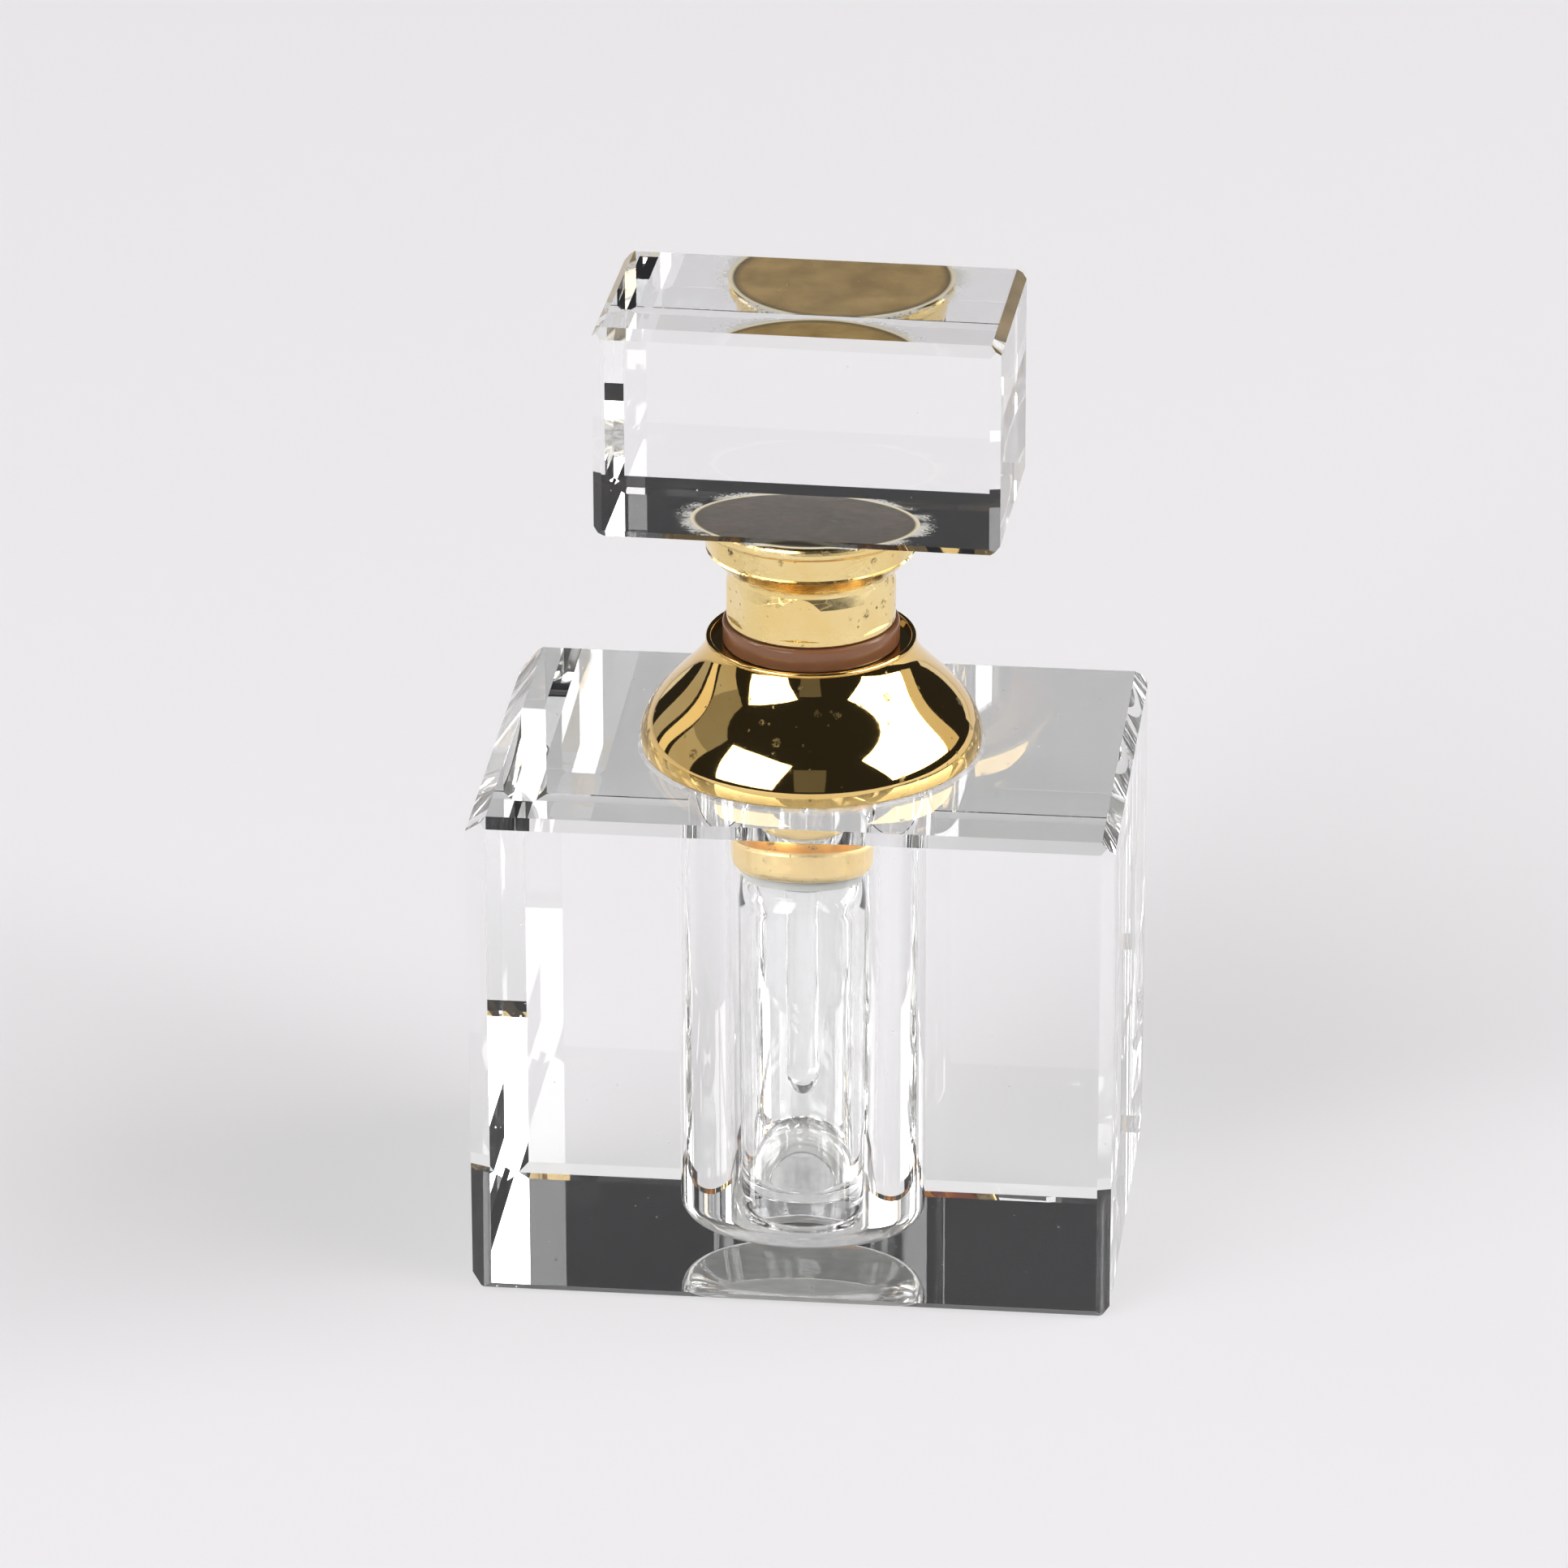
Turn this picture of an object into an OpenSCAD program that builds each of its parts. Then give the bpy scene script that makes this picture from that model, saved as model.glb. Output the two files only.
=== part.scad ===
// Small crystal perfume bottle with a glass dipper.
// A drilled crystal block holds a glass vial that hangs from a gilt neck sleeve.
// A gilt bell and a brown collar cover the neck; a crystal stopper on a gilt ferrule carries the dip rod.
// Origin: centre of the block's underside, +Z up, front towards -Y, millimetres.

/* [Body block] */
// Width of the crystal block, along X
body_w = 40; // [34:0.5:50]
// Depth of the crystal block, along Y
body_d = 28; // [25:0.5:40]
// Height of the crystal block
body_h = 32.2; // [26:0.2:42]
// Chamfer ground on the left edges
chamfer_left = 1.4; // [0.4:0.1:2]
// Chamfer ground on the right edges
chamfer_right = 0.8; // [0.4:0.1:2]
// Chamfer ground on the front top edge
chamfer_front = 0.6; // [0.3:0.1:2]
// Chamfer ground on the back edges
chamfer_back = 0.8; // [0.3:0.1:2]
// Chamfer ground around the underside
chamfer_base = 0.6; // [0.3:0.1:1.2]
// Thickness of crystal left under the bore
bore_floor = 1.6; // [1:0.1:4]
// Round where the bore's wall meets its floor
bore_corner = 1.8; // [0.5:0.1:3]

/* [Vial] */
// Outer diameter of the glass vial
vial_d = 12.8; // [11.6:0.1:14]
// Gap all round between the vial and the bore drilled for it
vial_side_gap = 1.3; // [0.7:0.1:2.5]
// Thickness of the vial's wall
vial_wall = 1.1; // [0.7:0.1:1.6]
// Thickness of the vial's base
vial_base = 1.9; // [1:0.1:3]
// Round of the vial's outer bottom edge
vial_heel = 1.1; // [0.5:0.1:2]
// Flat left on the vial's shoulder, beside its neck
shoulder_flat = 0.3; // [0.1:0.05:0.8]
// Height that the hollow's floor is pushed up in its middle
vial_punt = 0.35; // [0.1:0.05:0.8]
// Outer diameter of the vial's neck
vial_neck_d = 7.6; // [6.6:0.1:9.2]
// Wall of the vial's neck
vial_neck_wall = 0.85; // [0.6:0.05:1.2]
// Length of the vial's neck above its shoulder
vial_neck_len = 9.5; // [6:0.1:11]

/* [Neck sleeve] */
// Depth of the sleeve's lower end below the block's top face
sleeve_depth = 5.7; // [4:0.1:9]
// Gap between the sleeve and the bore's wall
sleeve_gap = 1.2; // [0.7:0.1:1.8]
// Gap between the bead at the sleeve's lower end and the bore's wall
bead_gap = 0.6; // [0.1:0.1:1]
// Height of that bead
sleeve_bead_h = 2.3; // [1:0.1:3]
// Depth of the groove above the bead
sleeve_groove_depth = 0.55; // [0.2:0.05:0.9]
// Width of that groove
sleeve_groove_h = 0.6; // [0.3:0.1:1.2]
// Wall of the sleeve's neck, around the vial's neck
neck_wall = 0.2; // [0.15:0.05:0.6]
// Height of the neck's rim above the bell's rim
neck_rise = 4.5; // [3.6:0.1:5]
// Thickness of the gasket between the sleeve and the vial's shoulder
gasket_t = 0.6; // [0.4:0.1:1.5]

/* [Bell and collar] */
// Diameter of the bell's foot
bell_foot_d = 21.3; // [20:0.1:24]
// Height of the bell's upright foot band
bell_foot_h = 0.8; // [0.5:0.05:1.5]
// Height of the whole bell
bell_h = 7.25; // [6:0.05:9]
// Share of a plain cone in the bell's side; the rest is an S
bell_cone = 0.275; // [0.1:0.025:0.8]
// Width of the rolled rim around the dish
rim_w = 0.35; // [0.32:0.01:0.6]
// Depth of that dish
dish_depth = 0.4; // [0.2:0.05:0.8]
// Width of the dish's floor, seen around the collar
dish_margin = 0.7; // [0.4:0.05:1.2]
// Sheet thickness of the bell
bell_wall = 0.55; // [0.4:0.05:0.8]
// Height of the brown collar that stands in the dish
collar_h = 1.5; // [0.8:0.05:2]
// How far the collar stands out beyond the ferrule's skirt
collar_ledge = 0.25; // [0:0.05:0.5]

/* [Ferrule] */
// Wall of the ferrule's skirt
ferrule_wall = 1; // [0.8:0.05:1.4]
// Depth of the six shallow flats pressed into the skirt
flat_depth = 0.16; // [0.1:0.02:0.4]
// Height of the plain foot ring under the flats
ferrule_foot_h = 0.4; // [0.3:0.05:1]
// Height of the skirt, up to the cove
skirt_h = 3.2; // [2.6:0.05:4]
// Height of the chamfer at the skirt's top, which ends the flats in arches
crown_h = 0.7; // [0.3:0.05:1]
// How far that chamfer draws the ferrule in
crown_depth = 0.16; // [0.1:0.02:0.4]
// Height of the cove above the skirt
cove_h = 0.7; // [0.5:0.05:1.2]
// Height of the flared ring above the cove
ring_h = 1; // [0.6:0.05:1.6]
// How far the ring's lower edge stands out beyond the skirt
ring_proud = 0.4; // [0.3:0.05:0.6]
// Height of the pitted edge between the ring and the flange
edge_h = 1.5; // [0.8:0.05:2]
// Height of the flange's edge
flange_h = 0.9; // [0.85:0.05:1.6]
// How far the flange stays inside the stopper's depth
flange_inset = 0.05; // [0:0.05:0.5]

/* [Stopper] */
// Width of the crystal stopper, along X
stopper_w = 25; // [21:0.5:31]
// Depth of the crystal stopper, along Y
stopper_d = 14.3; // [13:0.1:18]
// Height of the crystal stopper
stopper_h = 13.65; // [11:0.05:17]
// Chamfer ground on the stopper's edges
stopper_chamfer = 0.6; // [0.3:0.1:1.2]
// Turn of the stopper about the bottle's axis at rest
stopper_yaw = -1.7; // [-15:0.1:15]

/* [Dipper] */
// Diameter of the glass dip rod
rod_d = 3.46; // [2.6:0.02:4]
// Height of the rod's tip above the vial's inner floor
rod_tip_gap = 5.7; // [4.4:0.1:9]
// Length of the plug's stem below the neck's rim
plug_len = 9; // [5:0.1:11]
// Thickness of the plug's head
plug_head_t = 1; // [0.6:0.1:1.6]
// Thickness of the soft liner on the neck's rim
liner_t = 0.5; // [0.3:0.1:1]

/* [Fits] */
// Radial clearance of the plug's stem in the neck
plug_clear = 0.03; // [0.01:0.01:0.1]
// Radial clearance of the plug's head in the ferrule
head_clear = 0.04; // [0.01:0.01:0.1]
// Radial gap between the vial's neck and the sleeve that grips it
neck_fit = 0; // [0:0.01:0.05]
// Radial gap between the neck and the bell and collar that are pressed onto it
press_fit = 0; // [0:0.01:0.05]
// Gap between the collar and the ferrule's lower edge
ferrule_gap = 0.05; // [0.02:0.01:0.3]
// Radial clearance of the ferrule's skirt around the neck
ferrule_clear = 0.25; // [0.1:0.05:0.5]
// Gap under the vial, which hangs from the sleeve
vial_gap = 0.05; // [0.02:0.01:0.3]
// Thickness of the adhesive film under the bell and under the stopper
glue_t = 0.1; // [0.05:0.01:0.3]

/* [Hidden] */

$fn = 96;
big = 200;

// Heights, from the base up
vial_z = bore_floor + vial_gap;
vial_floor_z = vial_z + vial_base;
shoulder_z = body_h - sleeve_depth - gasket_t;
vial_top_z = shoulder_z + vial_neck_len;
bell_z = body_h + glue_t;
bell_top_z = bell_z + bell_h;
dish_z = bell_top_z - dish_depth;
neck_top_z = bell_top_z + neck_rise;
liner_z = neck_top_z;
head_z = liner_z + liner_t;
head_top_z = head_z + plug_head_t;
collar_top_z = dish_z + collar_h;
ferrule_z = collar_top_z + ferrule_gap;
skirt_top_z = ferrule_z + skirt_h;
cove_top_z = skirt_top_z + cove_h;
ring_top_z = cove_top_z + ring_h;
flange_z = ring_top_z + edge_h;
flange_top_z = flange_z + flange_h;
stopper_z = flange_top_z + glue_t;
rod_tip_z = vial_floor_z + rod_tip_gap;

// Radii that several pieces share
vial_r = vial_d / 2;
hollow_r = vial_r - vial_wall;
bore_r = vial_r + vial_side_gap;
vial_neck_r = vial_neck_d / 2;
neck_bore_r = vial_neck_r - vial_neck_wall;
shoulder_round = vial_r - vial_neck_r - shoulder_flat;
sleeve_r = bore_r - sleeve_gap;
bead_r = bore_r - bead_gap;
sleeve_grip_r = vial_neck_r + neck_fit;
neck_r = sleeve_grip_r + neck_wall;
rod_r = rod_d / 2;
stem_r = neck_bore_r - plug_clear;
ferrule_bore_r = neck_r + ferrule_clear;
skirt_r = ferrule_bore_r + ferrule_wall;
head_r = ferrule_bore_r - head_clear;
ring_r = skirt_r + ring_proud;
foot_r = bell_foot_d / 2;
collar_r = skirt_r + collar_ledge;
dish_r = collar_r + dish_margin;
rim_r = dish_r + rim_w;
flange_r = stopper_d / 2 - flange_inset;
rod_seat = 0.4;
film_inset = 0.1;

// Points on an arc about [cx, cy], from angle a to angle b
function arc(cx, cy, r, a, b, n = 8) =
    [for (i = [0:n]) [cx + r * cos(a + (b - a) * i / n), cy + r * sin(a + (b - a) * i / n)]];

// Outline of a rectangle whose corners are cut by the chamfers [left-low, right-low, right-high, left-high]
module cut_corner_rect(x0, x1, y0, y1, c) {
    polygon([[x0 + c[0], y0], [x1 - c[1], y0], [x1, y0 + c[1]], [x1, y1 - c[2]],
             [x1 - c[2], y1], [x0 + c[3], y1], [x0, y1 - c[3]], [x0, y0 + c[0]]]);
}

// Block standing on z = 0 with every edge chamfered: plan, front and side outlines crossed
module ground_block(w, d, h, plan, front, side) {
    intersection() {
        linear_extrude(h) cut_corner_rect(-w / 2, w / 2, -d / 2, d / 2, plan);
        translate([0, big / 2, 0]) rotate([90, 0, 0])
            linear_extrude(big) cut_corner_rect(-w / 2, w / 2, 0, h, front);
        translate([-big / 2, 0, 0]) rotate([90, 0, 90])
            linear_extrude(big) cut_corner_rect(-d / 2, d / 2, 0, h, side);
    }
}

// Everything that turns with the stopper is placed at its yaw
module at_stopper_yaw() {
    rotate([0, 0, stopper_yaw]) children();
}

// Crystal block with its blind bore
module body_block() {
    color([0.93, 0.95, 0.96, 0.35]) difference() {
        ground_block(body_w, body_d, body_h,
                     [chamfer_left, chamfer_right, chamfer_back, chamfer_left],
                     [chamfer_base, chamfer_base, chamfer_right, chamfer_left],
                     [chamfer_base, chamfer_base, chamfer_back, chamfer_front]);
        rotate_extrude() bore_outline();
    }
}

// Half section of the bore, with its rounded bottom corner
module bore_outline() {
    polygon(concat([[0, body_h + 1], [0, bore_floor]],
                   arc(bore_r - bore_corner, bore_floor + bore_corner, bore_corner, -90, 0),
                   [[bore_r, body_h + 1]]));
}

// Blown glass vial: rounded heel and shoulder, thick base pushed up in the middle
module vial() {
    inner_round = max(shoulder_round - vial_wall, 0.4);
    inner_heel = 1.9;
    base_dent = 0.35;
    foot_round = 0.3;
    base_ring_r = vial_r - 2.4 * vial_heel;
    color([0.9, 0.95, 0.96, 0.35]) rotate_extrude() polygon(concat(
        [[0, vial_z + base_dent]],
        arc(base_ring_r, vial_z + foot_round, foot_round, 180, 270, 4),
        arc(vial_r - vial_heel, vial_z + vial_heel, vial_heel, -90, 0),
        arc(vial_r - shoulder_round, shoulder_z - shoulder_round, shoulder_round, 0, 90),
        [[vial_neck_r, shoulder_z], [vial_neck_r, vial_top_z], [neck_bore_r, vial_top_z],
         [neck_bore_r, shoulder_z - vial_wall]],
        arc(hollow_r - inner_round, shoulder_z - vial_wall - inner_round, inner_round, 90, 0),
        arc(hollow_r - inner_heel, vial_floor_z + inner_heel, inner_heel, 0, -90),
        [[0, vial_floor_z + vial_punt]]));
}

// Soft white ring pinched between the sleeve and the vial's shoulder
module vial_gasket() {
    inset = 0.1;
    color([0.93, 0.93, 0.9]) translate([0, 0, shoulder_z]) difference() {
        cylinder(h = gasket_t, r = vial_r - inset);
        translate([0, 0, -1]) cylinder(h = gasket_t + 2, r = vial_neck_r);
    }
}

// Gilt sleeve: beaded lower end in the bore, neck tube up through the bell
module neck_sleeve() {
    low_z = body_h - sleeve_depth;
    bead_top = low_z + sleeve_bead_h;
    groove_top = bead_top + sleeve_groove_h;
    groove_r = sleeve_r - sleeve_groove_depth;
    bead_round = 0.9;
    lip = 0.25;
    groove_bevel = 0.1;
    taper_z = body_h + 1.2;
    taper_h = 1;
    color([0.83, 0.62, 0.28]) rotate_extrude() polygon(concat(
        [[sleeve_grip_r, low_z]],
        arc(bead_r - bead_round, low_z + bead_round, bead_round, -90, 0, 6),
        arc(bead_r - lip, bead_top - lip, lip, 0, 90, 3),
        [[groove_r, bead_top + groove_bevel], [groove_r, groove_top - groove_bevel]],
        arc(sleeve_r - lip, groove_top + lip, lip, -90, 0, 3),
        [[sleeve_r, taper_z], [neck_r, taper_z + taper_h]],
        arc(neck_r - lip, neck_top_z - lip, lip, 0, 90, 3),
        [[neck_bore_r, neck_top_z], [neck_bore_r, vial_top_z], [sleeve_grip_r, vial_top_z]]));
}

// Spun bell: upright foot band, S-shaped side and a thin rolled rim around a shallow dish
module bell() {
    lip = 0.15;
    rim_h = 0.3;
    foot_edge = 0.2;
    turned_in = 0.5;
    side_in = bell_wall * 1.25;
    side_down = bell_wall * 0.4;
    throat_r = rim_r - 0.08;
    side_z = bell_z + bell_foot_h;
    side_h = bell_h - bell_foot_h - rim_h;
    step = 0.0625;
    inside_top = 0.86;
    inside_low = 0.05;
    color([0.85, 0.65, 0.3]) rotate_extrude() polygon(concat(
        [[foot_r - bell_wall - turned_in, bell_z]],
        arc(foot_r - foot_edge, bell_z + foot_edge, foot_edge, -90, 0, 3),
        [for (t = [0:step:1]) [bell_side(foot_r, throat_r, t), side_z + side_h * t]],
        arc(rim_r - lip, bell_top_z - lip, lip, -50, 90, 6),
        arc(dish_r + lip, bell_top_z - lip, lip, 90, 180, 4),
        [[dish_r, dish_z], [neck_r + press_fit, dish_z], [neck_r + press_fit, dish_z - bell_wall],
         [dish_r, dish_z - bell_wall]],
        [for (t = [inside_top:-step:inside_low])
            [bell_side(foot_r, throat_r, t) - side_in, side_z + side_h * t - side_down]]));
}

// Radius of the bell's side at the fraction t of its height: part cone, part S
function bell_side(foot, throat, t) =
    foot - (foot - throat) * (bell_cone * t + (1 - bell_cone) * (1 - cos(180 * pow(t, 1.116))) / 2);

// Clear adhesive film that holds the bell on the block
module bell_adhesive() {
    squeezed_out = 0.15;
    ring_w = 1.4;
    color([0.9, 0.92, 0.93, 0.4]) translate([0, 0, body_h]) difference() {
        cylinder(h = glue_t, r = foot_r + squeezed_out);
        translate([0, 0, -1]) cylinder(h = glue_t + 2, r = foot_r + squeezed_out - ring_w);
    }
}

// Brown collar pressed on the neck, standing in the bell's dish under the ferrule
module neck_collar() {
    edge = 0.2;
    color([0.5, 0.36, 0.26]) rotate_extrude() polygon(concat(
        [[neck_r + press_fit, dish_z]],
        arc(collar_r - edge, dish_z + edge, edge, -90, 0, 3),
        arc(collar_r - edge, collar_top_z - edge, edge, 0, 90, 3),
        [[neck_r + press_fit, collar_top_z]]));
}

// Plug that grips the dip rod and closes the neck
module inner_plug() {
    low_z = neck_top_z - plug_len;
    lead_in = 0.3;
    lead_in_h = 0.8;
    color([0.88, 0.88, 0.86]) rotate_extrude() polygon([
        [rod_r, low_z], [stem_r - lead_in, low_z], [stem_r, low_z + lead_in_h],
        [stem_r, head_z], [head_r, head_z], [head_r, head_top_z], [0, head_top_z],
        [0, head_top_z - rod_seat], [rod_r, head_top_z - rod_seat]]);
}

// Glass dip rod with a round tip
module dip_rod() {
    color([0.9, 0.95, 0.96, 0.35]) rotate_extrude() polygon(concat(
        arc(0, rod_tip_z + rod_r, rod_r, -90, 0, 10),
        [[rod_r, head_top_z - rod_seat], [0, head_top_z - rod_seat]]));
}

// Soft washer between the plug's head and the neck's rim
module seal_liner() {
    inset = 0.05;
    color([0.95, 0.95, 0.93]) translate([0, 0, liner_z]) difference() {
        cylinder(h = liner_t, r = neck_r - inset);
        translate([0, 0, -1]) cylinder(h = liner_t + 2, r = stem_r);
    }
}

// Gilt ferrule: skirt with six shallow flats, cove, flared ring and flange
module ferrule() {
    color([0.86, 0.68, 0.36]) at_stopper_yaw() difference() {
        rotate_extrude() ferrule_outline();
        for (i = [0:5]) rotate([0, 0, 60 * i + 90])
            translate([skirt_r - flat_depth, -big / 2, ferrule_z + ferrule_foot_h])
                cube([big, big, skirt_h - ferrule_foot_h]);
        translate([0, 0, ferrule_z - 1])
            cylinder(h = head_top_z + head_clear - ferrule_z + 1, r = ferrule_bore_r);
    }
}

// Half section of the ferrule, solid to its axis
module ferrule_outline() {
    foot_edge = 0.12;
    step = 0.1;
    flange_edge = 0.4;
    waist_r = skirt_r - crown_depth;
    waist_h = cove_h / 7;
    cove_turn = 60;
    cove_r = (cove_h - waist_h) / sin(cove_turn);
    ring_low_r = skirt_r + ring_proud;
    ring_inset = 0.6;
    ring_high_r = flange_r - ring_inset;
    polygon(concat(
        [[0, ferrule_z]],
        arc(skirt_r - foot_edge, ferrule_z + foot_edge, foot_edge, -90, 0, 2),
        [[skirt_r, skirt_top_z - crown_h], [waist_r, skirt_top_z]],
        arc(waist_r + cove_r, skirt_top_z + waist_h, cove_r, 180, 180 - cove_turn, 6),
        [[ring_low_r, cove_top_z], [ring_low_r + step, cove_top_z + step],
         [ring_high_r, ring_top_z - step], [ring_high_r - step, ring_top_z],
         [ring_high_r, ring_top_z + step], [flange_r - ring_inset / 2, flange_z]],
        arc(flange_r - flange_edge, flange_z + flange_edge, flange_edge, -60, 0, 4),
        arc(flange_r - flange_edge, flange_top_z - flange_edge, flange_edge, 0, 90, 4),
        [[0, flange_top_z]]));
}

// Clear adhesive film between the flange and the stopper
module stopper_adhesive() {
    color([0.9, 0.92, 0.93, 0.4]) translate([0, 0, flange_top_z])
        cylinder(h = glue_t, r = flange_r - film_inset);
}

// Crystal stopper
module stopper_block() {
    c = stopper_chamfer;
    color([0.93, 0.95, 0.96, 0.35]) at_stopper_yaw() translate([0, 0, stopper_z])
        ground_block(stopper_w, stopper_d, stopper_h, [c, c, c, c], [c, c, c, c], [c, c, c, c]);
}

body_block();
vial();
vial_gasket();
neck_sleeve();
bell();
bell_adhesive();
neck_collar();
inner_plug();
dip_rod();
seal_liner();
ferrule();
stopper_adhesive();
stopper_block();
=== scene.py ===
import math

import bmesh
import bpy
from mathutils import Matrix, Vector


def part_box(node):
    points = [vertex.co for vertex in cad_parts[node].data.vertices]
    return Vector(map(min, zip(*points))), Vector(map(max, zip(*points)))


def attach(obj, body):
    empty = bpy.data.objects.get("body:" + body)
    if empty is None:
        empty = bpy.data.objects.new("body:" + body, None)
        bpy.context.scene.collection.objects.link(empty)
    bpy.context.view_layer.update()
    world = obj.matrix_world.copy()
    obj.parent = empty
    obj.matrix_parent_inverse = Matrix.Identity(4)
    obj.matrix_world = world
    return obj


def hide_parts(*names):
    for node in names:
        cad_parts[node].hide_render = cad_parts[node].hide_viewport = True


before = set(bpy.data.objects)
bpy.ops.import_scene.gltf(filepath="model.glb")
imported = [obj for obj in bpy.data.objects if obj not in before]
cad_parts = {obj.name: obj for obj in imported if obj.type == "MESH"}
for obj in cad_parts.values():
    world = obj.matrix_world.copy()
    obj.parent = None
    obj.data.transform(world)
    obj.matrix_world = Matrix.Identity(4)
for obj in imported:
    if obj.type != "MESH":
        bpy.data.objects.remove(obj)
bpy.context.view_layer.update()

MM = 0.001

# ---------------------------------------------------------------- sizes

VIAL_LOW, VIAL_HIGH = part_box("vial")
STOPPER_LOW, STOPPER_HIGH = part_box("stopper_block")
FILM_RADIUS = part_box("stopper_adhesive")[1][0]

# The bore drilled in the block: its floor is just under the vial, and its wall stands off the vial
BORE_FLOOR = VIAL_LOW[2] - 0.05 * MM
BORE_RADIUS = VIAL_HIGH[0] + 1.3 * MM

# The cement seen through the crystal stopper: a disc, and a smear around it
BOND_RADIUS = FILM_RADIUS + 0.1 * MM
SMEAR_RADIUS = BOND_RADIUS + 1.2 * MM
SMEAR_HALF_DEPTH = STOPPER_HIGH[1] - 0.6 * MM
BOND_HEIGHT = STOPPER_LOW[2] + 0.01 * MM
BOND_THICKNESS = 0.01 * MM
BOND_PINHOLE = 0.01 * MM

# Points of a CAD mesh that are closer than this are one point, and sharper edges than this stay sharp
WELD = 0.002 * MM
SHARP_ANGLE = 32

# ---------------------------------------------------------------- camera and studio

CAMERA_TARGET = (-1.72 * MM, 0.0, 29.25 * MM)
CAMERA_AZIMUTH = 6.354
CAMERA_ELEVATION = 23.875
CAMERA_DISTANCE = 0.6
CAMERA_ROLL = -0.16
CAMERA_LENS = 220.87

ROOM_COLOUR = (0.025, 0.025, 0.0265)

FLOOR_HALF = 6.0
FLOOR_DROP = 0.04 * MM
FLOOR_COLOUR = (0.80, 0.785, 0.80)

# Lit panels: name, azimuth and elevation of the centre, width and height, all in degrees, then
# radiance and colour
WHITE = (1.0, 1.0, 1.0)
WARM = (1.0, 0.93, 0.80)
LAMPS = (
    ("left softbox", -39, 28.5, (42, 43), 5.7, WHITE),
    ("right softbox", 86, 31, (52, 42), 5.7, WHITE),
    ("right wall", 119.5, 24, (15, 32), 0.75, WARM),
    ("left wall low", -91.5, 16, (23, 32), 0.5, WHITE),
    ("left wall high", -91.5, 39.5, (23, 15), 0.28, WHITE),
    ("left door", -111.5, 22, (9, 44), 1.0, WARM),
    ("left corner", -126, 20, (12, 40), 0.45, WHITE),
    ("front figure", 5, 24, (20, 37), 0.12, WHITE),
    ("back sweep", 180, 2.5, (70, 5), 0.8, WHITE),
)
LAMP_DISTANCE = 4.0


def direction(azimuth, elevation):
    """Unit vector from the object towards something at this azimuth and elevation, in degrees."""
    a, e = math.radians(azimuth), math.radians(elevation)
    return Vector((math.sin(a) * math.cos(e), -math.cos(a) * math.cos(e), math.sin(e)))


def make_camera():
    data = bpy.data.cameras.new("camera")
    data.lens = CAMERA_LENS
    data.clip_start = 0.01
    data.clip_end = 50
    camera = bpy.data.objects.new("camera", data)
    bpy.context.collection.objects.link(camera)
    back = direction(CAMERA_AZIMUTH, CAMERA_ELEVATION)
    camera.location = Vector(CAMERA_TARGET) + back * CAMERA_DISTANCE
    aim = (-back).to_track_quat("-Z", "Y").to_euler()
    aim.rotate_axis("Z", math.radians(CAMERA_ROLL))
    camera.rotation_euler = aim
    bpy.context.scene.camera = camera


def make_softbox(name, azimuth, elevation, size, radiance, colour):
    """A lit panel facing the bottle; its size is given in degrees as seen from the bottle."""
    wide = 2 * LAMP_DISTANCE * math.tan(math.radians(size[0] / 2))
    high = 2 * LAMP_DISTANCE * math.tan(math.radians(size[1] / 2))
    data = bpy.data.lights.new(name, "AREA")
    data.shape = "RECTANGLE"
    data.size = wide
    data.size_y = high
    data.energy = radiance * math.pi * wide * high
    data.color = colour
    light = bpy.data.objects.new(name, data)
    bpy.context.collection.objects.link(light)
    towards = direction(azimuth, elevation)
    light.location = towards * LAMP_DISTANCE
    light.rotation_euler = (-towards).to_track_quat("-Z", "Y").to_euler()
    light.visible_camera = False


def make_room():
    world = bpy.data.worlds.new("dark studio")
    world.use_nodes = True
    back = world.node_tree.nodes["Background"]
    back.inputs["Color"].default_value = (*ROOM_COLOUR, 1)
    bpy.context.scene.world = world


def make_floor():
    """A plain floor just under the bottle, so that its polished underside still reflects."""
    half, low = FLOOR_HALF, -FLOOR_DROP
    corners = [(-half, -half, low), (half, -half, low), (half, half, low), (-half, half, low)]
    mesh = bpy.data.meshes.new("floor")
    mesh.from_pydata(corners, [], [(0, 1, 2, 3)])
    floor = bpy.data.objects.new("floor", mesh)
    bpy.context.collection.objects.link(floor)
    tree, shader = new_material("paper sweep")
    shader.inputs["Base Color"].default_value = (*FLOOR_COLOUR, 1)
    shader.inputs["Roughness"].default_value = 0.9
    shader.inputs["Specular IOR Level"].default_value = 0.1
    mesh.materials.append(bpy.data.materials["paper sweep"])


def make_studio():
    make_camera()
    make_room()
    make_floor()
    for lamp in LAMPS:
        make_softbox(*lamp)


def set_view():
    """Plain colours, and enough bounces for glass inside glass."""
    scene = bpy.context.scene
    scene.view_settings.view_transform = "Standard"
    scene.cycles.use_denoising = True
    scene.cycles.max_bounces = 24
    scene.cycles.transmission_bounces = 24
    scene.cycles.glossy_bounces = 12
    scene.cycles.caustics_refractive = False
    scene.cycles.caustics_reflective = False


# ---------------------------------------------------------------- material helpers

def new_material(name):
    material = bpy.data.materials.new(name)
    material.use_nodes = True
    tree = material.node_tree
    return tree, tree.nodes["Principled BSDF"]


def coords(tree, scale=(1, 1, 1), rotation=(0, 0, 0)):
    """Position on the object, stretched for patterns that run one way."""
    source = tree.nodes.new("ShaderNodeTexCoord")
    mapping = tree.nodes.new("ShaderNodeMapping")
    mapping.inputs["Scale"].default_value = scale
    mapping.inputs["Rotation"].default_value = [math.radians(r) for r in rotation]
    tree.links.new(source.outputs["Object"], mapping.inputs["Vector"])
    return mapping.outputs["Vector"]


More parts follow.
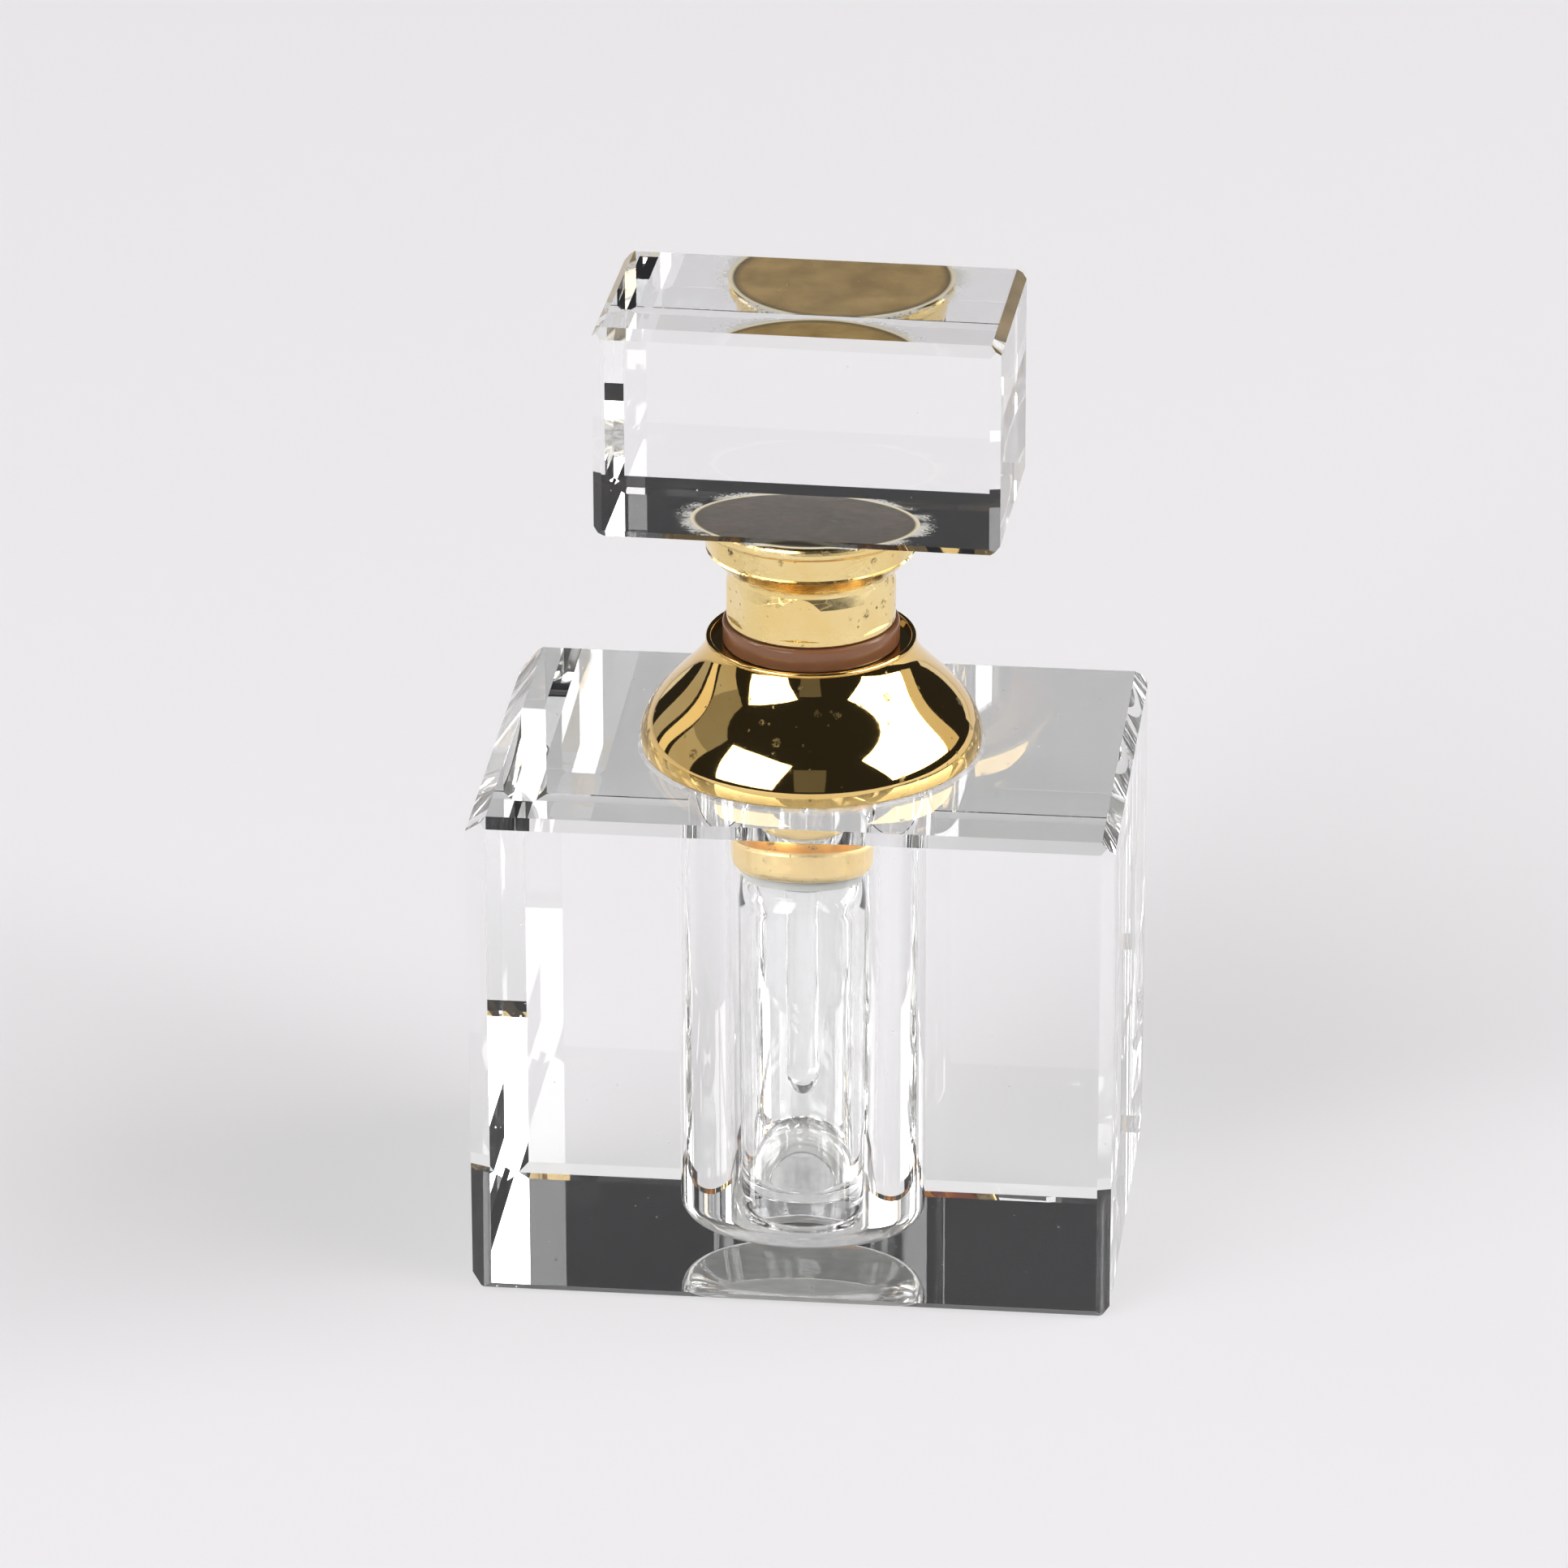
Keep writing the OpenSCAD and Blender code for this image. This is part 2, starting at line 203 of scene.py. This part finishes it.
def noise(tree, scale, detail, roughness=0.55):
    node = tree.nodes.new("ShaderNodeTexNoise")
    node.inputs["Scale"].default_value = scale
    node.inputs["Detail"].default_value = detail
    node.inputs["Roughness"].default_value = roughness
    tree.links.new(coords(tree), node.inputs["Vector"])
    return node.outputs["Fac"]


def ramp(tree, value, low, high, start, end):
    """Maps value from [low, high] to [start, end], held at the ends."""
    node = tree.nodes.new("ShaderNodeMapRange")
    node.inputs["From Min"].default_value = low
    node.inputs["From Max"].default_value = high
    node.inputs["To Min"].default_value = start
    node.inputs["To Max"].default_value = end
    tree.links.new(value, node.inputs["Value"])
    return node.outputs["Result"]


def maths(tree, operation, a, b):
    node = tree.nodes.new("ShaderNodeMath")
    node.operation = operation
    for socket, value in ((node.inputs[0], a), (node.inputs[1], b)):
        if isinstance(value, (int, float)):
            socket.default_value = value
        else:
            tree.links.new(value, socket)
    return node.outputs[0]


def mix_colour(tree, factor, a, b):
    node = tree.nodes.new("ShaderNodeMix")
    node.data_type = "RGBA"
    tree.links.new(factor, node.inputs["Factor"])
    for socket, value in ((node.inputs[6], a), (node.inputs[7], b)):
        if isinstance(value, tuple):
            socket.default_value = (*value, 1)
        else:
            tree.links.new(value, socket)
    return node.outputs[2]


def bump(tree, height, distance):
    node = tree.nodes.new("ShaderNodeBump")
    node.inputs["Distance"].default_value = distance
    node.inputs["Strength"].default_value = 1.0
    tree.links.new(height, node.inputs["Height"])
    return node.outputs["Normal"]


def set_roughness(tree, shader, scale, detail, low, high):
    """Roughness that wanders between low and high over the surface."""
    cloud = noise(tree, scale, detail)
    tree.links.new(ramp(tree, cloud, 0.3, 0.7, low, high), shader.inputs["Roughness"])


def scratches(tree, seed, density):
    """Fine straight hairlines in three directions: 1 on a hairline and 0 elsewhere."""
    lines = None
    for i, turn in enumerate((17, -38, 71)):
        vector = coords(tree, scale=(40, 900, 900), rotation=(turn + seed, turn * 0.7, turn))
        cells = tree.nodes.new("ShaderNodeTexVoronoi")
        cells.feature = "DISTANCE_TO_EDGE"
        cells.inputs["Scale"].default_value = 1.0
        tree.links.new(vector, cells.inputs["Vector"])
        hair = ramp(tree, cells.outputs["Distance"], 0.0, 0.03, 1.0, 0.0)
        patches = noise(tree, 160 + 30 * i + seed, 2)
        mask = ramp(tree, patches, 1 - density, 1 - density + 0.08, 0.0, 1.0)
        hair = maths(tree, "MULTIPLY", hair, mask)
        lines = hair if lines is None else maths(tree, "MAXIMUM", lines, hair)
    return lines


def spots(tree, scale, size, share, seed):
    """Sparse round specks: 1 inside a speck."""
    cells = tree.nodes.new("ShaderNodeTexVoronoi")
    cells.inputs["Scale"].default_value = scale
    cells.inputs["Randomness"].default_value = 1.0
    shifted = coords(tree, rotation=(seed, seed * 2, seed * 3))
    tree.links.new(shifted, cells.inputs["Vector"])
    inside = ramp(tree, cells.outputs["Distance"], size * 0.6, size, 1.0, 0.0)
    pick = tree.nodes.new("ShaderNodeSeparateColor")
    tree.links.new(cells.outputs["Color"], pick.inputs["Color"])
    chosen = maths(tree, "LESS_THAN", pick.outputs["Red"], share)
    return maths(tree, "MULTIPLY", inside, chosen)


def blend_shaders(tree, factor, a, b):
    """Shader a where the factor is 0 and shader b where it is 1."""
    mix = tree.nodes.new("ShaderNodeMixShader")
    if isinstance(factor, (int, float)):
        mix.inputs["Fac"].default_value = factor
    else:
        tree.links.new(factor, mix.inputs["Fac"])
    tree.links.new(a, mix.inputs[1])
    tree.links.new(b, mix.inputs[2])
    return mix.outputs["Shader"]


def show(tree, surface):
    tree.links.new(surface, tree.nodes["Material Output"].inputs["Surface"])


def split_coords(tree):
    split = tree.nodes.new("ShaderNodeSeparateXYZ")
    tree.links.new(coords(tree), split.inputs["Vector"])
    return split.outputs


def between_heights(tree, low, high, edge):
    """1 between two heights above the floor and 0 outside them, with soft edges, in metres."""
    height = split_coords(tree)["Z"]
    above = ramp(tree, height, low - edge, low + edge, 0.0, 1.0)
    below = ramp(tree, height, high - edge, high + edge, 1.0, 0.0)
    return maths(tree, "MULTIPLY", above, below)


def from_axis(tree):
    """Distance from the bottle's axis, in metres."""
    position = split_coords(tree)
    x2 = maths(tree, "MULTIPLY", position["X"], position["X"])
    y2 = maths(tree, "MULTIPLY", position["Y"], position["Y"])
    return maths(tree, "SQRT", maths(tree, "ADD", x2, y2), 0.0)


def near_axis(tree, radius, edge):
    """1 near the bottle's axis and 0 beyond the radius, with a soft edge, in metres."""
    return ramp(tree, from_axis(tree), radius - edge, radius + edge, 1.0, 0.0)


# ---------------------------------------------------------------- glass

CRYSTAL_IOR = 1.517
BLOWN_IOR = 1.5
ADHESIVE_IOR = 1.48
CRYSTAL_TINT = (0.998, 0.999, 1.0)
BLOWN_TINT = (0.996, 0.999, 0.998)
ADHESIVE_TINT = (0.98, 0.985, 0.98)
FILM_TINT = (0.9, 0.9, 0.88)
LAMPLIGHT_TINT = (0.985, 0.99, 0.985)
FROST_COLOUR = (0.86, 0.85, 0.83)

# Ground glass left by the drill at the bottom of the bore
FROST_BELOW = 0.9 * MM
FROST_ABOVE = 1.5 * MM
FROST_EDGE = 0.6 * MM
FROST_SIDE_EDGE = 0.1 * MM
FROST_SHARE = 0.42


def let_lamps_through(tree, surface):
    """Lamp light passes glass straight, so that what stands in it and behind it is lit."""
    path = tree.nodes.new("ShaderNodeLightPath")
    clear = tree.nodes.new("ShaderNodeBsdfTransparent")
    clear.inputs["Color"].default_value = (*LAMPLIGHT_TINT, 1)
    show(tree, blend_shaders(tree, path.outputs["Is Shadow Ray"], surface, clear.outputs["BSDF"]))


def bore_frost(tree, clear):
    """Ground glass round the bore's floor, on a clear surface: lit white and cloudy."""
    skin = tree.nodes.new("ShaderNodeBsdfDiffuse")
    skin.inputs["Color"].default_value = (*FROST_COLOUR, 1)
    glow = tree.nodes.new("ShaderNodeBsdfTranslucent")
    glow.inputs["Color"].default_value = (*FROST_COLOUR, 1)
    ground = blend_shaders(tree, 0.5, skin.outputs["BSDF"], glow.outputs["BSDF"])
    low = BORE_FLOOR - FROST_BELOW
    high = BORE_FLOOR + FROST_ABOVE
    level = between_heights(tree, low, high, FROST_EDGE)
    where = maths(tree, "MULTIPLY", level, near_axis(tree, BORE_RADIUS, FROST_SIDE_EDGE))
    cloud = ramp(tree, noise(tree, 900, 5), 0.35, 0.65, 0.75, 1.0)
    amount = maths(tree, "MULTIPLY", maths(tree, "MULTIPLY", where, cloud), FROST_SHARE)
    return blend_shaders(tree, amount, clear, ground)


def glass(name, tint, ior, seed, specks, waviness=0.0, frosted=False):
    """Polished clear glass with a few hairlines and dull specks; waviness is a depth in metres."""
    tree, shader = new_material(name)
    shader.inputs["Base Color"].default_value = (*tint, 1)
    shader.inputs["Transmission Weight"].default_value = 1.0
    shader.inputs["IOR"].default_value = ior
    dull = spots(tree, 1500, 0.12, specks, seed)
    hair = scratches(tree, seed, 0.25)
    mark = maths(tree, "MAXIMUM", dull, maths(tree, "MULTIPLY", hair, 0.3))
    tree.links.new(ramp(tree, mark, 0.0, 1.0, 0.0, 0.45), shader.inputs["Roughness"])
    if waviness:
        tree.links.new(bump(tree, noise(tree, 120, 1), waviness), shader.inputs["Normal"])
    surface = shader.outputs["BSDF"]
    if frosted:
        surface = bore_frost(tree, surface)
    let_lamps_through(tree, surface)
    return bpy.data.materials[name]


def clear_film(name, seed):
    """Thin clear adhesive: mostly unseen, with a faint sheen and cloudy patches."""
    tree, shader = new_material(name)
    shader.inputs["Base Color"].default_value = (*FILM_TINT, 1)
    shader.inputs["IOR"].default_value = ADHESIVE_IOR
    set_roughness(tree, shader, 1200 + seed, 3, 0.1, 0.3)
    tree.links.new(bump(tree, noise(tree, 900, 3), 0.01 * MM), shader.inputs["Normal"])
    clear = tree.nodes.new("ShaderNodeBsdfTransparent")
    patch = ramp(tree, noise(tree, 700 + seed, 4), 0.45, 0.7, 0.04, 0.3)
    show(tree, blend_shaders(tree, patch, clear.outputs["BSDF"], shader.outputs["BSDF"]))
    return bpy.data.materials[name]


# ---------------------------------------------------------------- gilt metal and plastic

DIRT_COLOUR = (0.06, 0.035, 0.015)
GILT_RELIEF = 0.012 * MM
PLASTIC_RELIEF = 0.006 * MM
PLASTIC_GLOW_DEPTH = 1.0 * MM


def pitting(tree, pits, seed):
    """Ragged tarnish spots in two sizes: 1 inside a spot."""
    stain = spots(tree, 900, 0.34, pits, seed)
    fine = spots(tree, 2200, 0.3, pits * 0.6, seed + 31)
    ragged = ramp(tree, noise(tree, 5000, 3), 0.42, 0.62, 0.0, 1.0)
    return maths(tree, "MULTIPLY", maths(tree, "MAXIMUM", stain, fine), ragged)


def gilt(name, bright, deep, rough, seed, pits, tarnish, worn=1.0):
    """Gilt metal with cloudy colour, tarnish spots, hairlines and a slightly uneven surface."""
    tree, shader = new_material(name)
    shader.inputs["Metallic"].default_value = 1.0
    dirt = pitting(tree, pits, seed)

    cloud = ramp(tree, noise(tree, 240, 5), 0.35, 0.7, 0.0, 1.0)
    gold = mix_colour(tree, cloud, bright, deep)
    colour = mix_colour(tree, maths(tree, "MULTIPLY", dirt, tarnish), gold, DIRT_COLOUR)
    tree.links.new(colour, shader.inputs["Base Color"])

    hair = ramp(tree, scratches(tree, seed, 0.55), 0, 1, 0, 0.12 * worn)
    grain = ramp(tree, noise(tree, 3000, 4), 0.3, 0.7, rough * 0.8, rough * 1.3)
    wear = maths(tree, "ADD", grain, hair)
    dull = maths(tree, "MULTIPLY", dirt, 0.35)
    tree.links.new(maths(tree, "ADD", wear, dull), shader.inputs["Roughness"])

    height = maths(tree, "SUBTRACT", noise(tree, 700, 3), maths(tree, "MULTIPLY", dirt, 0.8))
    tree.links.new(bump(tree, height, GILT_RELIEF * worn), shader.inputs["Normal"])
    return bpy.data.materials[name]


def plastic(name, colour, rough, translucency, seed):
    """Moulded plastic or lacquer with a slightly cloudy colour and an uneven sheen."""
    tree, shader = new_material(name)
    shade = ramp(tree, noise(tree, 500 + seed, 4), 0.3, 0.7, 0.0, 1.0)
    darker = tuple(c * 0.9 for c in colour)
    tree.links.new(mix_colour(tree, shade, colour, darker), shader.inputs["Base Color"])
    shader.inputs["Subsurface Weight"].default_value = translucency
    shader.inputs["Subsurface Radius"].default_value = (PLASTIC_GLOW_DEPTH,) * 3
    set_roughness(tree, shader, 2500, 3, rough * 0.8, rough * 1.2)
    relief = bump(tree, noise(tree, 1800, 3), PLASTIC_RELIEF)
    tree.links.new(relief, shader.inputs["Normal"])
    return bpy.data.materials[name]


# ---------------------------------------------------------------- cement under the stopper

# Painted reflection: the gold that the back of the cement shows face-on
PAINTED_GOLD_LIGHT = (0.40, 0.265, 0.10)
PAINTED_GOLD_DARK = (0.24, 0.155, 0.05)
BROWN_LIGHT = (0.078, 0.058, 0.046)
BROWN_DARK = (0.054, 0.047, 0.037)
# Painted shade: the dark ring just inside the pale rim of the cement
BOND_PAINTED_SHADE = (0.05, 0.04, 0.022)
BOND_RIM = (0.80, 0.70, 0.50)
CEMENT = (0.72, 0.70, 0.66)

# How far inside the bond's edge its painted dark shade starts, the pale rim starts, and the rim is
# full
PAINTED_SHADE_START = 0.8 * MM
RIM_START = 0.35 * MM
RIM_FULL = 0.18 * MM


def bond_look(name):
    """Back of the cement: a painted gold reflection from above, its own dark brown at a low angle,
    painted shade inside a pale rim.
    """
    tree, shader = new_material(name)
    # Colour by viewing angle: gold face-on is a painted reflection, dark brown at a low angle is the
    # cement's own colour
    weight = tree.nodes.new("ShaderNodeLayerWeight")
    low_angle = ramp(tree, weight.outputs["Facing"], 0.3, 0.65, 0.0, 1.0)
    cloud = ramp(tree, noise(tree, 420, 5), 0.35, 0.65, 0.0, 1.0)
    gold = mix_colour(tree, cloud, PAINTED_GOLD_LIGHT, PAINTED_GOLD_DARK)
    brown = mix_colour(tree, cloud, BROWN_LIGHT, BROWN_DARK)
    colour = mix_colour(tree, low_angle, gold, brown)

    radius = from_axis(tree)
    # Painted shade in a ring inside the rim, then the pale rim
    shade = ramp(tree, radius, BOND_RADIUS - PAINTED_SHADE_START, BOND_RADIUS - RIM_START, 0.0, 0.8)
    colour = mix_colour(tree, shade, colour, BOND_PAINTED_SHADE)
    rim = ramp(tree, radius, BOND_RADIUS - RIM_START, BOND_RADIUS - RIM_FULL, 0.0, 1.0)
    colour = mix_colour(tree, rim, colour, BOND_RIM)
    tree.links.new(colour, shader.inputs["Base Color"])

    set_roughness(tree, shader, 1500, 3, 0.4, 0.6)
    tree.links.new(bump(tree, noise(tree, 700, 3), 0.005 * MM), shader.inputs["Normal"])
    return bpy.data.materials[name]


def smear_look(name):
    """Dried cement around the bond: white hairs that thin out with the distance from it."""
    tree, shader = new_material(name)
    shader.inputs["Base Color"].default_value = (*CEMENT, 1)
    set_roughness(tree, shader, 3000, 3, 0.5, 0.8)
    tree.links.new(bump(tree, noise(tree, 4000, 3), 0.01 * MM), shader.inputs["Normal"])

    thinning = ramp(tree, from_axis(tree), BOND_RADIUS, SMEAR_RADIUS, 0.36, 0.62)
    hairs = maths(tree, "SUBTRACT", noise(tree, 4200, 6, roughness=0.75), thinning)
    patch = ramp(tree, noise(tree, 420, 2), 0.36, 0.52, 0.0, 0.9)
    fill = maths(tree, "MULTIPLY", ramp(tree, hairs, 0.0, 0.06, 0.0, 1.0), patch)
    clear = tree.nodes.new("ShaderNodeBsdfTransparent")
    show(tree, blend_shaders(tree, fill, clear.outputs["BSDF"], shader.outputs["BSDF"]))
    return bpy.data.materials[name]


def circle(radius, height, half_depth, steps):
    """Points round the axis at a height, none of them past half_depth in Y."""
    points = []
    for i in range(steps):
        turn = 2 * math.pi * i / steps
        reach = min(radius, half_depth / max(abs(math.sin(turn)), 0.01))
        points.append((reach * math.cos(turn), reach * math.sin(turn), height))
    return points


def flat_ring(name, inner, outer, half_depth, steps=120):
    """Thin flat ring about the axis on the bond's level, cut off at half_depth in Y."""
    points = []
    for height in (BOND_HEIGHT, BOND_HEIGHT + BOND_THICKNESS):
        points += circle(inner, height, half_depth, steps)
        points += circle(outer, height, half_depth, steps)
    faces = []
    for a, b in ((0, 1), (1, 3), (3, 2), (2, 0)):
        for i in range(steps):
            j = (i + 1) % steps
            faces.append((a * steps + i, a * steps + j, b * steps + j, b * steps + i))
    mesh = bpy.data.meshes.new(name)
    mesh.from_pydata(points, [], faces)
    mesh.update()
    piece = bpy.data.objects.new(name, mesh)
    bpy.context.collection.objects.link(piece)
    return piece


def make_bond():
    """The disc of cement on the stopper's underside, which shows through the crystal."""
    bond = flat_ring("bond_disc", BOND_PINHOLE, BOND_RADIUS, BOND_RADIUS)
    bond.data.materials.append(bond_look("cement back"))
    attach(bond, "stopper")


def make_smear():
    """The dried cement around the disc, kept clear of the stopper's long faces."""
    smear = flat_ring("cement_smear", BOND_RADIUS, SMEAR_RADIUS, SMEAR_HALF_DEPTH)
    smear.data.materials.append(smear_look("dried cement"))
    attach(smear, "stopper")


# ---------------------------------------------------------------- CAD nodes

def dress(node, material):
    """Gives a CAD node a better material in each of its slots."""
    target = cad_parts[node]
    for slot in target.material_slots:
        slot.material = material
    if not target.material_slots:
        target.data.materials.append(material)


def smooth_copy(node):
    """A copy of a CAD node's mesh, with its curved faces shaded smooth instead of in bands."""
    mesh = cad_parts[node].data.copy()
    custom = mesh.attributes.get("custom_normal")
    if custom:
        mesh.attributes.remove(custom)
    work = bmesh.new()
    work.from_mesh(mesh)
    bmesh.ops.remove_doubles(work, verts=work.verts, dist=WELD)
    bmesh.ops.recalc_face_normals(work, faces=work.faces)
    for edge in work.edges:
        edge.smooth = edge.calc_face_angle(math.pi) < math.radians(SHARP_ANGLE)
    for face in work.faces:
        face.smooth = True
        face.material_index = 0
    work.to_mesh(mesh)
    work.free()
    mesh.materials.clear()
    return mesh


def smooth_skin(node, body, material):
    """Shows a smooth copy of a CAD node in its place, and dresses the node the same."""
    mesh = smooth_copy(node)
    mesh.materials.append(material)
    piece = bpy.data.objects.new(node + "_skin", mesh)
    bpy.context.collection.objects.link(piece)
    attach(piece, body)
    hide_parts(node)
    dress(node, material)


# ---------------------------------------------------------------- sub-parts

def finish_body_block():
    look = glass("ground crystal", CRYSTAL_TINT, CRYSTAL_IOR, 3, specks=0.05, frosted=True)
    smooth_skin("body_block", "bottle", look)


def finish_vial():
    look = glass("vial glass", BLOWN_TINT, BLOWN_IOR, 21, specks=0.01, waviness=0.0005 * MM)
    smooth_skin("vial", "bottle", look)


def finish_dip_rod():
    look = glass("rod glass", BLOWN_TINT, BLOWN_IOR, 33, specks=0.01, waviness=0.0003 * MM)
    smooth_skin("dip_rod", "dipper", look)


def finish_bell():
    """Mirror-polished gilt with a few small tarnish spots."""
    bright, deep = (0.86, 0.61, 0.24), (0.80, 0.53, 0.18)
    look = gilt("bell gilt", bright, deep, 0.04, 5, pits=0.1, tarnish=0.9, worn=0.12)
    smooth_skin("bell", "bottle", look)


def finish_ferrule():
    """Soft satin gilt with pits."""
    bright, deep = (0.96, 0.76, 0.38), (0.90, 0.66, 0.26)
    dress("ferrule", gilt("ferrule gilt", bright, deep, 0.17, 12, pits=0.35, tarnish=0.9))


def finish_neck_sleeve():
    """Satin gilt, seen through the block."""
    bright, deep = (0.98, 0.76, 0.38), (0.94, 0.70, 0.32)
    dress("neck_sleeve", gilt("sleeve gilt", bright, deep, 0.32, 40, pits=0.1, tarnish=0.8))


def finish_stopper_block():
    look = glass("stopper crystal", CRYSTAL_TINT, CRYSTAL_IOR, 8, specks=0.02)
    dress("stopper_block", look)


def finish_plastic_pieces():
    dress("neck_collar", plastic("collar lacquer", (0.20, 0.085, 0.04), 0.2, 0.0, 4))
    dress("vial_gasket", plastic("gasket plastic", (0.85, 0.85, 0.82), 0.45, 0.2, 1))
    dress("seal_liner", plastic("liner foam", (0.88, 0.88, 0.86), 0.7, 0.3, 2))
    dress("inner_plug", plastic("plug plastic", (0.82, 0.82, 0.8), 0.4, 0.3, 3))


def finish_adhesives():
    dress("bell_adhesive", clear_film("bell adhesive", 60))
    look = glass("stopper adhesive", ADHESIVE_TINT, ADHESIVE_IOR, 50, specks=0.1)
    dress("stopper_adhesive", look)


make_studio()
make_bond()
make_smear()
finish_body_block()
finish_vial()
finish_dip_rod()
finish_bell()
finish_ferrule()
finish_neck_sleeve()
finish_stopper_block()
finish_plastic_pieces()
finish_adhesives()
set_view()
